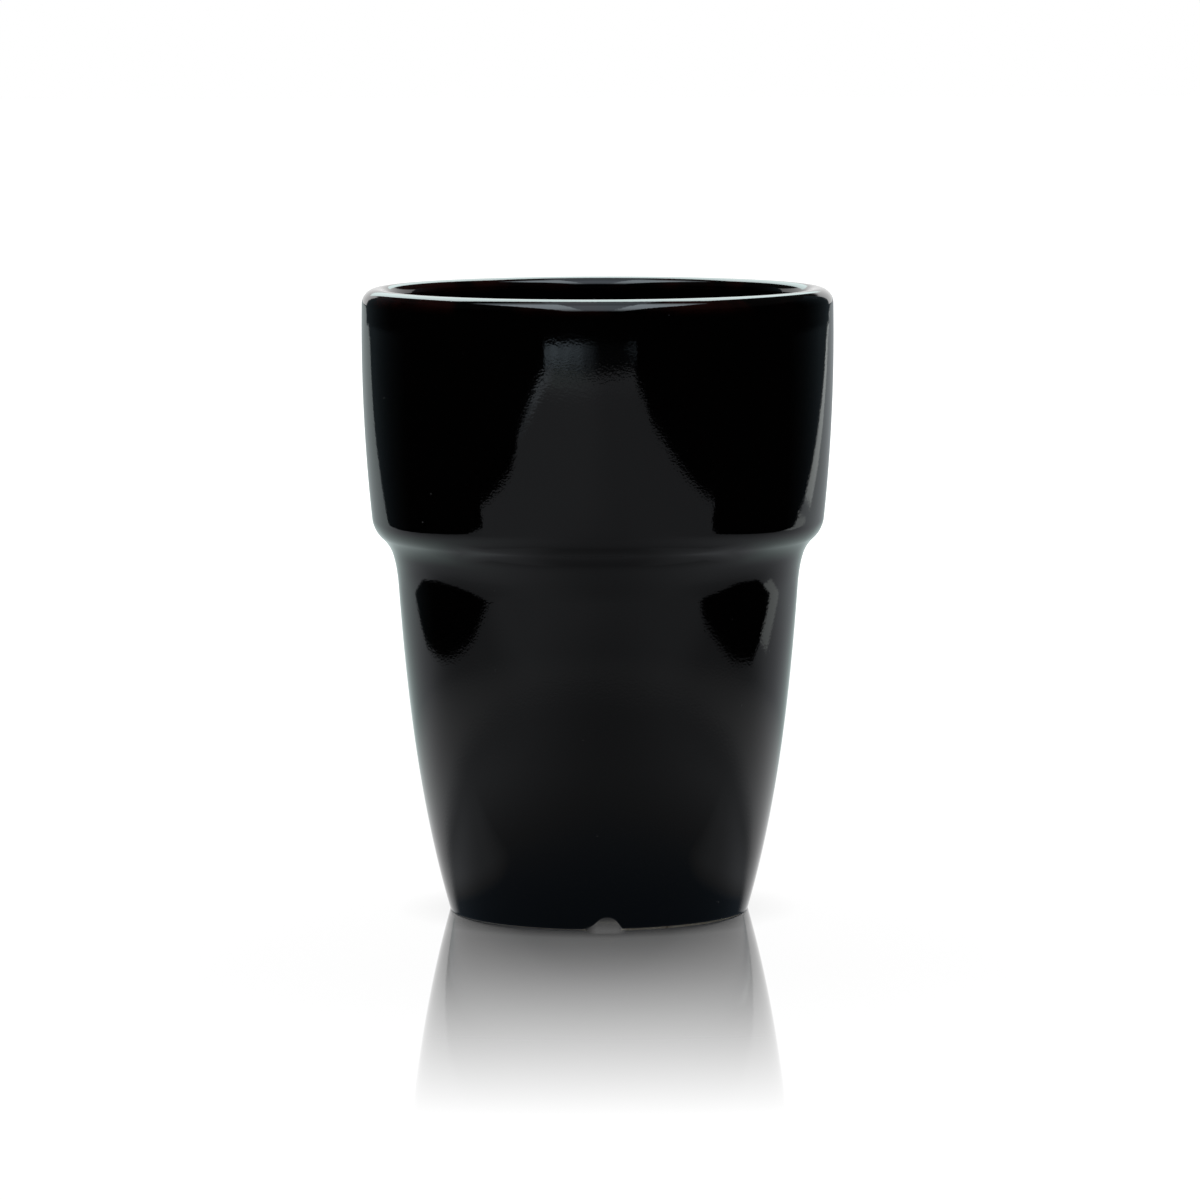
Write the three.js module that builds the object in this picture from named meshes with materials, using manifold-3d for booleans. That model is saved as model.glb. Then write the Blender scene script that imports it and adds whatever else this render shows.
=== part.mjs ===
// A handleless stoneware mug, made to stack: a tapering body, a stepped shoulder and a wider collar.
// The clay is one fired body. Three coats of black glaze lie on it: outside, inside and under the base.
// The foot is left bare to stand on, and three drain notches cross it.
// Millimetres, +Z up, standing on z = 0 with the mug's axis on the Z axis.
import * as THREE from "three";
import { mergeVertices } from "three/addons/utils/BufferGeometryUtils.js";
import Module from "manifold-3d";

const wasm = await Module();
wasm.setup();

// Heights
const MUG_HEIGHT = 106;
const SHOULDER_HEIGHT = 61.5; // crease where the shoulder starts to step out
const WIDEST_BELOW_RIM = 8; // from the top of the lip down to the widest place of the collar
const FLOOR_TOP = 8; // inside, where the drink stands
const RECESS_DEPTH = 3; // hollow under the base, inside the foot ring

// Radii from the axis, measured on the finished glaze
const RIM_RADIUS = 40;
const FOOT_RADIUS = 25.4;
const STACKING_CLEARANCE = 1; // the body below the shoulder drops into the mouth of the mug underneath

// Thicknesses
const WALL = 4.6;
const GLAZE = 0.4;
const BOND_LINE = 0.04; // hair gap drawn between a coat and the clay that it is fused to
const FOOT_RING = 4.6; // width of the standing ring, glaze included

// Curves
const COLLAR_BOW = 300; // radius of the collar's slight outward bow
const SHOULDER_SLOPE = THREE.MathUtils.degToRad(45); // away from upright
const SHOULDER_ROUND = 5.4; // outside, from the collar into the slope
const SHOULDER_HOLLOW = 8.7; // outside, from the slope into the body
const INNER_ROUND = 3; // inside, behind the shoulder's round
const INNER_HOLLOW = 12; // inside, behind the shoulder's hollow
const BODY_FULLNESS_LOW = THREE.MathUtils.degToRad(7.6); // by which the foot leans more than the whole body
const BODY_FULLNESS_HIGH = THREE.MathUtils.degToRad(4.6); // by which the waist leans less
const LIP_ROUND = 2.6; // outer edge of the lip
const LIP_INNER_ROUND = 1.8;
const LIP_FLAT = 0.2; // least width left between the two rounds, on top of the lip
const FLOOR_CORNER = 9; // inside, from the wall into the floor
const RECESS_CORNER = 1.4; // under the base, from the foot ring into the hollow
const FOOT_BEVEL = 0.3;

// Where each coat stops
const GLAZE_STOP = 0.3; // above the table, so that the mug doesn't stick to the kiln shelf
const LINER_BELOW_RIM = 6; // the inside coat starts here, under the lip

// Drain notches
const NOTCH_COUNT = 3;
const NOTCH_TURN = THREE.MathUtils.degToRad(3.3); // first notch, to the right of the front
const NOTCH_HEIGHT = 2.1;
const NOTCH_CROWN = 2.2; // radius of its rounded top
const NOTCH_SOFT_SIDE = THREE.MathUtils.degToRad(43); // side slopes, from the table
const NOTCH_STEEP_SIDE = THREE.MathUtils.degToRad(53);
const NOTCH_FLARE = 2.4; // radius by which the soft side runs out into the foot

// Facets
const TURN_FACETS = 44;
const LIP_STEPS = 3;
const COLLAR_STEPS = 3;
const SHOULDER_STEPS = 3;
const BODY_STEPS = 5;
const FLOOR_CORNER_STEPS = 4;
const RECESS_CORNER_STEPS = 2;
const CROWN_STEPS = 6;
const FLARE_STEPS = 2;
const HALVINGS = 40; // of the range in which a place on a curve is searched

// Sizes that follow from the ones above
const mouthRadius = RIM_RADIUS - WALL;
const waistRadius = mouthRadius - STACKING_CLEARANCE;
const recessRadius = FOOT_RADIUS - FOOT_RING;
const clayInset = GLAZE + BOND_LINE;
const collarCentre = new THREE.Vector2(RIM_RADIUS - COLLAR_BOW, MUG_HEIGHT - WIDEST_BELOW_RIM);
const crease = new THREE.Vector2(waistRadius, SHOULDER_HEIGHT);
const foot = new THREE.Vector2(FOOT_RADIUS, 0);
const bodyLean = Math.atan2(crease.x - foot.x, crease.y - foot.y);
const footLean = bodyLean + BODY_FULLNESS_LOW;
const waistLean = bodyLean - BODY_FULLNESS_HIGH;
const lipShare = Math.min(1, (WALL - LIP_FLAT) / (LIP_ROUND + LIP_INNER_ROUND));
const lipRound = LIP_ROUND * lipShare;
const lipInnerRound = LIP_INNER_ROUND * lipShare;

// A half section is drawn in radius and height. A wall that leans from upright by some angle runs along
// `upAlong` and faces away from the axis along `outFrom`.
const upAlong = (lean) => new THREE.Vector2(Math.sin(lean), Math.cos(lean));
const outFrom = (lean) => new THREE.Vector2(Math.cos(lean), -Math.sin(lean));
const moved = (point, direction, distance) => point.clone().addScaledVector(direction, distance);

// A station is one point of a finished surface and the direction in which that surface faces.
const station = (point, facing) => ({ point, facing });
const turnedOver = ({ point, facing }) => station(point, facing.clone().negate());
const sunk = (stations, depth) => stations.map(({ point, facing }) => moved(point, facing, -depth));

// Stations along a round arc. `facing` is 1 where the surface faces away from the arc's centre, and -1 where
// it faces towards it. The first `skip` stations are left to the curve before.
function arcStations(centre, radius, from, to, steps, facing = 1, skip = 0) {
  const stations = [];
  for (let i = skip; i <= steps; i++) {
    const angle = from + ((to - from) * i) / steps;
    const ray = new THREE.Vector2(Math.cos(angle), Math.sin(angle));
    stations.push(station(moved(centre, ray, radius), ray.multiplyScalar(facing)));
  }
  return stations;
}

// Stations along a curve that climbs, facing away from the axis.
function climbStations(curve, from, to, steps, skip = 0) {
  const stations = [];
  for (let i = skip; i <= steps; i++) {
    const t = from + ((to - from) * i) / steps;
    const along = curve.getTangent(t);
    stations.push(station(curve.getPoint(t), new THREE.Vector2(along.y, -along.x)));
  }
  return stations;
}

// The place on a climbing curve where a point, sunk behind it by a depth, reaches a height.
function placeAtHeight(curve, height, depth = 0) {
  let low = 0;
  let high = 1;
  for (let halving = 0; halving < HALVINGS; halving++) {
    const middle = (low + high) / 2;
    const reached = curve.getPoint(middle).y + depth * curve.getTangent(middle).x;
    if (reached < height) low = middle;
    else high = middle;
  }
  return (low + high) / 2;
}

// The side of the mug from foot to lip, at a depth behind the outer surface, with its two shoulder curves.
function sideAt(depth, wantedRound, wantedHollow) {
  const slopeOut = outFrom(SHOULDER_SLOPE);
  const slopeUp = upAlong(SHOULDER_SLOPE);
  const waistOut = outFrom(waistLean);
  const corner = slopeOut.clone().add(waistOut).divideScalar(1 + slopeOut.dot(waistOut));
  const sideCrease = moved(crease, corner, -depth);
  const sideFoot = new THREE.Vector2(foot.x - depth / Math.cos(footLean), foot.y);
  const collarRadius = COLLAR_BOW - depth;

  // A round of some radius touches the slope and, from within, the bow of the collar.
  function roundCentreFor(radius) {
    const across = slopeOut.dot(sideCrease) - radius - slopeOut.dot(collarCentre);
    const along = Math.sqrt((collarRadius - radius) ** 2 - across ** 2);
    return moved(moved(collarCentre, slopeOut, across), slopeUp, along);
  }
  const slopeRun = (radius) => roundCentreFor(radius).sub(sideCrease).dot(slopeUp);

  // The two curves share the slope, so both shrink where it is too short for them.
  const halfTurn = (SHOULDER_SLOPE - waistLean) / 2;
  const slopeLength = slopeRun(0);
  const wantedRun = wantedHollow * Math.tan(halfTurn) + slopeLength - slopeRun(wantedRound);
  const share = Math.min(1, slopeLength / wantedRun);
  const round = wantedRound * share;
  const hollow = wantedHollow * share;

  const waist = moved(sideCrease, upAlong(waistLean), -hollow * Math.tan(halfTurn));
  const handle = waist.distanceTo(sideFoot) / 3;
  const body = new THREE.CubicBezierCurve(
    sideFoot,
    moved(sideFoot, upAlong(footLean), handle),
    moved(waist, upAlong(waistLean), -handle),
    waist,
  );
  const hollowCentre = moved(waist, waistOut, hollow);
  return { body, hollow, hollowCentre, round, roundCentre: roundCentreFor(round), collarRadius };
}

const angleFrom = (centre, point) => Math.atan2(point.y - centre.y, point.x - centre.x);
const collarAngleAt = (height, radius) => Math.asin((height - collarCentre.y) / radius);

// The shoulder's hollow, slope and round, from the waist up to the collar, facing away from the axis.
function shoulderStations({ hollow, hollowCentre, round, roundCentre }) {
  const hollowArc = arcStations(
    hollowCentre,
    hollow,
    Math.PI - waistLean,
    Math.PI - SHOULDER_SLOPE,
    SHOULDER_STEPS,
    -1,
    1,
  );
  const collarStart = angleFrom(collarCentre, roundCentre);
  const roundArc = arcStations(roundCentre, round, -SHOULDER_SLOPE, collarStart, SHOULDER_STEPS);
  return [...hollowArc, ...roundArc];
}

// The middle of a round on the lip's edge, which touches the collar's inner or outer face and the top.
function lipCentre(radius, reach) {
  const angle = collarAngleAt(MUG_HEIGHT - radius, reach);
  return moved(collarCentre, new THREE.Vector2(Math.cos(angle), Math.sin(angle)), reach);
}

// The outer surface, from the bare foot up to the top of the lip.
function outsideStations() {
  const side = sideAt(0, SHOULDER_ROUND, SHOULDER_HOLLOW);
  const centre = lipCentre(lipRound, COLLAR_BOW - lipRound);
  const collarStart = angleFrom(collarCentre, side.roundCentre);
  const lipStart = angleFrom(collarCentre, centre);
  return [
    ...climbStations(side.body, placeAtHeight(side.body, GLAZE_STOP), 1, BODY_STEPS),
    ...shoulderStations(side),
    ...arcStations(collarCentre, COLLAR_BOW, collarStart, 0, COLLAR_STEPS, 1, 1),
    ...arcStations(collarCentre, COLLAR_BOW, 0, lipStart, 1, 1, 1),
    ...arcStations(centre, lipRound, lipStart, Math.PI / 2, LIP_STEPS, 1, 1),
  ];
}

// The inner edge of the lip, from its top down to where the inside coat starts.
function lipInsideStations() {
  const innerFace = COLLAR_BOW - WALL;
  const centre = lipCentre(lipInnerRound, innerFace + lipInnerRound);
  const lipEnd = angleFrom(collarCentre, centre);
  const linerStart = collarAngleAt(MUG_HEIGHT - LINER_BELOW_RIM, innerFace);
  return [
    ...arcStations(centre, lipInnerRound, Math.PI / 2, Math.PI + lipEnd, LIP_STEPS),
    ...arcStations(collarCentre, innerFace, lipEnd, linerStart, 1, -1, 1),
  ];
}

// The inner surface, from the start of the inside coat down the wall to the middle of the floor.
function insideStations() {
  const side = sideAt(WALL, INNER_ROUND, INNER_HOLLOW);
  const linerTop = MUG_HEIGHT - LINER_BELOW_RIM - BOND_LINE;
  const linerAngle = collarAngleAt(linerTop, side.collarRadius);
  const collarStart = angleFrom(collarCentre, side.roundCentre);
  const cornerPlace = placeAtHeight(side.body, FLOOR_TOP + FLOOR_CORNER, FLOOR_CORNER);
  const cornerTop = climbStations(side.body, cornerPlace, 1, 1)[0];
  const cornerCentre = moved(cornerTop.point, cornerTop.facing, -FLOOR_CORNER);
  const cornerAngle = angleFrom(cornerCentre, cornerTop.point);
  const climbing = [
    ...arcStations(cornerCentre, FLOOR_CORNER, -Math.PI / 2, cornerAngle, FLOOR_CORNER_STEPS),
    ...climbStations(side.body, cornerPlace, 1, BODY_STEPS, 1),
    ...shoulderStations(side),
    ...arcStations(collarCentre, side.collarRadius, collarStart, linerAngle, COLLAR_STEPS, 1, 1),
  ];
  const middle = station(new THREE.Vector2(0, FLOOR_TOP), new THREE.Vector2(0, 1));
  return [...climbing.map(turnedOver).reverse(), middle];
}

// The hollow under the base, from its middle out to the foot ring and down to the bare foot.
function recessStations() {
  const down = new THREE.Vector2(0, -1);
  const inward = new THREE.Vector2(-1, 0);
  const centre = new THREE.Vector2(recessRadius - RECESS_CORNER, RECESS_DEPTH - RECESS_CORNER);
  return [
    station(new THREE.Vector2(0, RECESS_DEPTH), down),
    ...arcStations(centre, RECESS_CORNER, Math.PI / 2, 0, RECESS_CORNER_STEPS, -1),
    station(new THREE.Vector2(recessRadius, GLAZE_STOP), inward),
  ];
}

const outside = outsideStations();
const lipInside = lipInsideStations();
const inside = insideStations();
const recess = recessStations();

// Closed meshes as solids that can be cut and joined, and back.
function solidOf(geometry) {
  geometry.deleteAttribute("normal");
  geometry.deleteAttribute("uv");
  const merged = mergeVertices(geometry);
  return new wasm.Manifold(
    new wasm.Mesh({
      numProp: 3,
      vertProperties: merged.attributes.position.array,
      triVerts: new Uint32Array(merged.index.array),
    }),
  );
}

function geometryOf(solid) {
  const { vertProperties, triVerts } = solid.getMesh();
  const geometry = new THREE.BufferGeometry();
  geometry.setAttribute("position", new THREE.BufferAttribute(vertProperties, 3));
  geometry.setIndex(new THREE.BufferAttribute(triVerts, 1));
  geometry.computeVertexNormals();
  return geometry;
}

// A half section turned about the mug's axis. Its points run with the solid on their left.
function turned(section) {
  const lathe = new THREE.LatheGeometry(section, TURN_FACETS);
  return solidOf(lathe.rotateX(Math.PI / 2));
}

// A coat of glaze: a run of finished surface and the same run on the clay side.
const coatSection = (stations) => [...sunk(stations, 0), ...sunk(stations, GLAZE).reverse()];
const ringSection = (points) => [...points, points[0]];

// The outline of a drain notch seen from outside, grown all round by some amount. Its soft side is on the left
// and runs out in a flare, its steep side is on the right. Both turn straight down where the glaze stops.
function notchOutline(growth) {
  const crownCentre = new THREE.Vector2(0, NOTCH_HEIGHT - NOTCH_CROWN);
  const crown = arcStations(
    crownCentre,
    NOTCH_CROWN + growth,
    Math.PI / 2 + NOTCH_SOFT_SIDE,
    Math.PI / 2 - NOTCH_STEEP_SIDE,
    CROWN_STEPS,
  );

  const softDown = new THREE.Vector2(-Math.cos(NOTCH_SOFT_SIDE), -Math.sin(NOTCH_SOFT_SIDE));
  const softIntoClay = new THREE.Vector2(-Math.sin(NOTCH_SOFT_SIDE), Math.cos(NOTCH_SOFT_SIDE));
  const softTouch = moved(crownCentre, softIntoClay, NOTCH_CROWN);
  const flareDrop = 1 - Math.cos(NOTCH_SOFT_SIDE);
  const flareRadius = Math.min(NOTCH_FLARE, softTouch.y / flareDrop);
  const softRun = (softTouch.y - flareRadius * flareDrop) / Math.sin(NOTCH_SOFT_SIDE);
  const flareCentre = moved(moved(softTouch, softDown, softRun), softIntoClay, flareRadius);
  const flareEnd = Math.asin((flareCentre.y - GLAZE_STOP) / flareRadius);
  const flare = arcStations(
    flareCentre,
    flareRadius - growth,
    -flareEnd,
    NOTCH_SOFT_SIDE - Math.PI / 2,
    FLARE_STEPS,
  );

  const steepDown = new THREE.Vector2(Math.cos(NOTCH_STEEP_SIDE), -Math.sin(NOTCH_STEEP_SIDE));
  const steepTouch = crown[crown.length - 1].point;
  const steepEnd = moved(steepTouch, steepDown, (steepTouch.y - GLAZE_STOP) / Math.sin(NOTCH_STEEP_SIDE));

  const points = [...flare, ...crown].map(({ point }) => point);
  points.push(steepEnd);
  points.push(new THREE.Vector2(steepEnd.x, -NOTCH_HEIGHT));
  points.push(new THREE.Vector2(points[0].x, -NOTCH_HEIGHT));
  return points;
}

// All the notches as one tool, reaching through the foot ring from inside to outside.
function notchTool(growth) {
  const reach = 2 * FOOT_RING;
  const shape = new THREE.Shape(notchOutline(growth));
  const tools = [];
  for (let i = 0; i < NOTCH_COUNT; i++) {
    const bar = new THREE.ExtrudeGeometry(shape, { depth: reach, bevelEnabled: false });
    bar.translate(0, 0, FOOT_RADIUS - FOOT_RING / 2 - reach / 2);
    bar.rotateX(Math.PI / 2);
    bar.rotateZ(NOTCH_TURN + (i * 2 * Math.PI) / NOTCH_COUNT);
    tools.push(solidOf(bar));
  }
  return tools.reduce((all, tool) => all.add(tool));
}

// The clay body: wall, floor and foot ring in one, cut by the notches.
function clayBody() {
  const outer = sunk([...outside, ...lipInside, ...inside.slice(1)], clayInset);
  const under = sunk(recess, clayInset);
  const ringInside = recessRadius + clayInset;
  const ringOutside = foot.x - clayInset / Math.cos(footLean);
  const footOutside = new THREE.Vector2(ringOutside, 0);
  const bevelTop = footOutside.clone().lerp(outer[0], FOOT_BEVEL / outer[0].y);
  const section = [
    ...under.slice(0, -1),
    new THREE.Vector2(ringInside, FOOT_BEVEL),
    new THREE.Vector2(ringInside + FOOT_BEVEL, 0),
    new THREE.Vector2(bevelTop.x - FOOT_BEVEL, 0),
    bevelTop,
    ...outer,
  ];
  return turned(section).subtract(notchTool(clayInset));
}

// The outside coat: up the body, over the lip, and through the notches as their lining. The lining crosses the
// foot ring, from the hollow under the base to halfway into the coat outside.
function outerGlaze() {
  const coat = turned(ringSection(coatSection([...outside, ...lipInside])));
  const ringOutside = sunk(outside.slice(0, 2), GLAZE / 2);
  const ringInside = sunk(recess.slice(1), 0);
  const ringCorner = new THREE.Vector2(ringInside[0].x, ringOutside[1].y);
  const ring = turned(ringSection([...ringOutside, ringCorner, ...ringInside]));
  const lining = notchTool(GLAZE).intersect(ring);
  return coat.add(lining).subtract(notchTool(0));
}

// The inside coat: wall and floor.
function linerGlaze() {
  const surface = sunk(inside, 0);
  const clayside = sunk(inside, GLAZE);
  return turned([...clayside.reverse(), ...surface]);
}

// The coat in the hollow under the base.
function baseGlaze() {
  const surface = sunk(recess, 0);
  const clayside = sunk(recess, GLAZE);
  return turned([...surface, ...clayside.reverse()]).subtract(notchTool(clayInset));
}

const bareClay = new THREE.MeshStandardMaterial({ color: 0xcdbf9f, roughness: 0.85, metalness: 0 });
const blackGlaze = new THREE.MeshStandardMaterial({ color: 0x060708, roughness: 0.08, metalness: 0 });

const mug = new THREE.Group();
mug.name = "mug";

function addPiece(name, solid, material) {
  const mesh = new THREE.Mesh(geometryOf(solid), material);
  mesh.name = name;
  mug.add(mesh);
}

addPiece("clay_body", clayBody(), bareClay);
addPiece("outer_glaze", outerGlaze(), blackGlaze);
addPiece("liner_glaze", linerGlaze(), blackGlaze);
addPiece("base_glaze", baseGlaze(), blackGlaze);

export default mug;
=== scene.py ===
# %% [markdown]
# A handleless stoneware mug, dressed for its picture
#
# The mug is one fired clay body under three coats of black glaze. The coats outside, inside and under the
# base are modelled as thin shells, as a potter would lay them on, and the foot is left bare. Every length
# here is in metres, +Z is up, and the mug stands on z = 0 with its axis on the Z axis.
#
# The imported model is loaded first. It gives the real size and place of every piece, and its own box is
# kept, for the mug's widest radius and height.

# %% Load the imported model
import math

import bmesh
import bpy
from mathutils import Matrix, Vector


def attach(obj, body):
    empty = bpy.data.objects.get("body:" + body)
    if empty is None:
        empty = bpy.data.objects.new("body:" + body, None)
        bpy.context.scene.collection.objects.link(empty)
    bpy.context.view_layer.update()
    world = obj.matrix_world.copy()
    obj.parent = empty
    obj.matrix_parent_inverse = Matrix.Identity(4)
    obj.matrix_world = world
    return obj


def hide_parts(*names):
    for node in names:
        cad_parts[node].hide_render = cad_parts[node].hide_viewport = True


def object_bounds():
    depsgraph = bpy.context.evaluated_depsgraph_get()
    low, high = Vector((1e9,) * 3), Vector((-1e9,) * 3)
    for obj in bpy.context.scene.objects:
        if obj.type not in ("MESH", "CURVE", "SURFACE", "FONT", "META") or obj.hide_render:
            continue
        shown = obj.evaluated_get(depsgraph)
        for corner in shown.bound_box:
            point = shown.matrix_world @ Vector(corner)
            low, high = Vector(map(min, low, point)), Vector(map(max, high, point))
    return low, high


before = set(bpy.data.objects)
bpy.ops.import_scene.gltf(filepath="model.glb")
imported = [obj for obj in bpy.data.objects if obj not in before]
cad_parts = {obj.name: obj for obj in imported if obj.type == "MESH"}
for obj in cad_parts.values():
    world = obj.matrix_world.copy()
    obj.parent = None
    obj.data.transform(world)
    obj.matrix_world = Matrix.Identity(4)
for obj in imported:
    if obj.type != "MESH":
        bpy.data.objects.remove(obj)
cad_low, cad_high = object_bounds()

MM = 0.001
print("packed model spans", [round(v / MM, 2) for v in (*cad_low, *cad_high)], "mm")

# %% [markdown]
# The camera
#
# The picture was taken from about a metre away with a long lens, slightly above the rim and looking a
# little down. The rim and the foot are both ellipses in it, and their widths and heights fix the distance,
# the height and the tilt. A camera can be aimed by a constraint or by hand. It is placed by numbers here,
# because a constraint can't hold the small roll that the picture has.

# %% Camera
CAMERA_PLACE = Vector((0.29 * MM, -1069.5 * MM, 162.5 * MM))
CAMERA_TILT = math.radians(5.856)
CAMERA_ROLL = math.radians(-0.146)
CAMERA_LENS = 189.45  # millimetres, as the sensor is
CAMERA_SENSOR = 36
CAMERA_REACH = 50

bpy.ops.object.select_all(action="DESELECT")
bpy.ops.object.camera_add(location=CAMERA_PLACE)
camera = bpy.context.object
camera.name = "camera"
aim = Matrix.Rotation(math.radians(90) - CAMERA_TILT, 4, "X") @ Matrix.Rotation(CAMERA_ROLL, 4, "Z")
camera.rotation_euler = aim.to_euler()
camera.data.sensor_width = CAMERA_SENSOR
camera.data.lens = CAMERA_LENS
camera.data.clip_end = CAMERA_REACH
bpy.context.scene.camera = camera
bpy.context.scene.view_settings.view_transform = "Standard"
print("camera", round(CAMERA_PLACE.length, 3), "m from the mug's foot")

# %% [markdown]
# The sizes of the mug
#
# A mug like this is thrown or pressed to a template, so its whole shape is one half section turned about
# the axis. The template is described by a few heights, radii, slopes and rounds. They are the packed
# model's own, apart from the shoulder's slope and hollow, which are a little softer here, because they
# shape what the glaze mirrors. The widest radius and the height are read from the model's box.

# %% Sizes
RIM_RADIUS = cad_high.x
MUG_HEIGHT = cad_high.z
SHOULDER_HEIGHT = 61.66 * MM  # where the shoulder's slope would meet the body's line
WIDEST_BELOW_RIM = 8 * MM
FLOOR_TOP = 8 * MM
RECESS_DEPTH = 3 * MM
FOOT_RADIUS = 25.4 * MM
STACKING_CLEARANCE = 1 * MM
WALL = 4.6 * MM
GLAZE = 0.4 * MM
BOND_LINE = 0.04 * MM
FOOT_RING = 4.6 * MM

COLLAR_BOW = 300 * MM
SHOULDER_SLOPE = math.radians(48)
SHOULDER_ROUND = 5.2 * MM
SHOULDER_HOLLOW = 6.2 * MM
SLOW_HOLLOW = 34 * MM
SLOW_HOLLOW_LEAN = math.radians(8.8)
SOFT_HOLLOW = 19 * MM
SOFT_HOLLOW_LEAN = math.radians(16.8)
INNER_ROUND = 3 * MM
INNER_HOLLOW = 8.5 * MM
BODY_FULLNESS_LOW = math.radians(7.6)
BODY_FULLNESS_HIGH = math.radians(4.2)
LIP_ROUND = 2.6 * MM
LIP_INNER_ROUND = 1.8 * MM
FLOOR_CORNER = 9 * MM
RECESS_CORNER = 1.4 * MM
FOOT_BEVEL = 0.3 * MM
GLAZE_STOP = 0.3 * MM
LINER_BELOW_RIM = 6 * MM

crease = Vector((RIM_RADIUS - WALL - STACKING_CLEARANCE, SHOULDER_HEIGHT))
foot = Vector((FOOT_RADIUS, 0))
collar_centre = Vector((RIM_RADIUS - COLLAR_BOW, MUG_HEIGHT - WIDEST_BELOW_RIM))
body_lean = math.atan2(crease.x - foot.x, crease.y - foot.y)
foot_lean = body_lean + BODY_FULLNESS_LOW
waist_lean = body_lean - BODY_FULLNESS_HIGH
print("the body leans", round(math.degrees(body_lean), 2), "degrees from upright")

# %% [markdown]
# Drawing a half section
#
# A section could be drawn with a Bezier curve or an image template. Here it is worked out as a run of
# stations: a station is one point of the finished surface, as radius and height, with the direction that
# the surface faces there. From stations, a coat of any thickness is made by sinking each point backwards.
# Rounds are true arcs, and the body is one soft Bezier bow, so few numbers describe the whole shape.

# %% Section helpers
HALVINGS = 40


def up_along(lean):
    return Vector((math.sin(lean), math.cos(lean)))


def out_from(lean):
    return Vector((math.cos(lean), -math.sin(lean)))


def arc(centre, radius, start, end, steps, facing=1, skip=0):
    stations = []
    for i in range(skip, steps + 1):
        angle = start + (end - start) * i / steps
        ray = Vector((math.cos(angle), math.sin(angle)))
        stations.append((centre + ray * radius, ray * facing))
    return stations


def bow(corners, start, end, steps, skip=0):
    a, b, c, d = corners
    stations = []
    for i in range(skip, steps + 1):
        t = start + (end - start) * i / steps
        s = 1 - t
        point = a * s**3 + b * 3 * s * s * t + c * 3 * s * t * t + d * t**3
        along = ((b - a) * s * s + (c - b) * 2 * s * t + (d - c) * t * t).normalized()
        stations.append((point, Vector((along.y, -along.x))))
    return stations


def place_at_height(corners, height, depth=0):
    low, high = 0, 1
    for _ in range(HALVINGS):
        middle = (low + high) / 2
        point, facing = bow(corners, middle, middle, 1)[0]
        if point.y - depth * facing.y < height:
            low = middle
        else:
            high = middle
    return middle


def sunk(stations, depth):
    return [point - facing * depth for point, facing in stations]


def turned_over(stations):
    return [(point, -facing) for point, facing in reversed(stations)]


def angle_from(centre, point):
    return math.atan2(point.y - centre.y, point.x - centre.x)


# %% [markdown]
# The side of the mug, at any depth
#
# The outer wall, the inner wall and the clay between them all follow the same side: a body that swells
# slightly, a hollow and a round that make the stacking shoulder, and a collar that bows outward. The hollow
# starts as a soft curve and tightens towards the shoulder, as a turning tool leaves it. The inner side has
# its own, tighter round, as a wall of even thickness does.

# %% Side of the mug
def turned(radius, start, end):
    return Vector((math.cos(start) - math.cos(end), math.sin(end) - math.sin(start))) * radius


def hollow_arcs(tightest):
    return (
        (SLOW_HOLLOW, waist_lean, SLOW_HOLLOW_LEAN),
        (SOFT_HOLLOW, SLOW_HOLLOW_LEAN, SOFT_HOLLOW_LEAN),
        (tightest, SOFT_HOLLOW_LEAN, SHOULDER_SLOPE),
    )


def side_at(depth, shoulder_round, hollow):
    slope_out = out_from(SHOULDER_SLOPE)
    waist_out = out_from(waist_lean)
    corner = (slope_out + waist_out) / (1 + slope_out.dot(waist_out))
    side_crease = crease - corner * depth
    side_foot = Vector((foot.x - depth / math.cos(foot_lean), foot.y))
    reach = COLLAR_BOW - depth
    across = slope_out.dot(side_crease - collar_centre) - shoulder_round
    along = math.sqrt((reach - shoulder_round) ** 2 - across**2)
    round_centre = collar_centre + slope_out * across + up_along(SHOULDER_SLOPE) * along
    whole_turn = sum((turned(*one) for one in hollow_arcs(hollow)), Vector((0, 0)))
    below_crease = slope_out.dot(whole_turn) / slope_out.dot(up_along(waist_lean))
    waist = side_crease - up_along(waist_lean) * below_crease
    handle = (waist - side_foot).length / 3
    return {
        "body": (
            side_foot,
            side_foot + up_along(foot_lean) * handle,
            waist - up_along(waist_lean) * handle,
            waist,
        ),
        "hollows": hollow_arcs(hollow),
        "round": shoulder_round,
        "round_centre": round_centre,
        "collar_start": angle_from(collar_centre, round_centre),
    }


def shoulder(side, steps):
    stations = []
    start = side["body"][3]
    for radius, low, high in side["hollows"]:
        centre = start + out_from(low) * radius
        stations += arc(centre, radius, math.pi - low, math.pi - high, steps, -1, 1)
        start = start + turned(radius, low, high)
    return stations + arc(side["round_centre"], side["round"], -SHOULDER_SLOPE, side["collar_start"], steps)


def lip_centre(radius, reach):
    angle = math.asin((MUG_HEIGHT - radius - collar_centre.y) / reach)
    return collar_centre + Vector((math.cos(angle), math.sin(angle))) * reach


outer_side = side_at(0, SHOULDER_ROUND, SHOULDER_HOLLOW)
inner_side = side_at(WALL, INNER_ROUND, INNER_HOLLOW)
print("the waist is", round(outer_side["body"][3].x / MM, 2), "mm from the axis")

# %% [markdown]
# The finished surfaces as stations
#
# Each surface is a list of stations. It could be one curve with even points, but rows have to lie close
# together where it turns quickly, at the foot, the shoulder and the lip, and may lie further apart on the
# long walls.

# %% Stations of every finished surface
FOOT_ZONE = 8 * MM
FOOT_STEPS = 24
BODY_STEPS = 30
SHOULDER_STEPS = 10
COLLAR_STEPS = 26
LIP_STEPS = 14
INNER_LIP_STEPS = 12
LAP_STEPS = 3
CORNER_STEPS = 16
INNER_BODY_STEPS = 28
INNER_SHOULDER_STEPS = 7
INNER_COLLAR_STEPS = 24
RECESS_STEPS = 8

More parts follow.
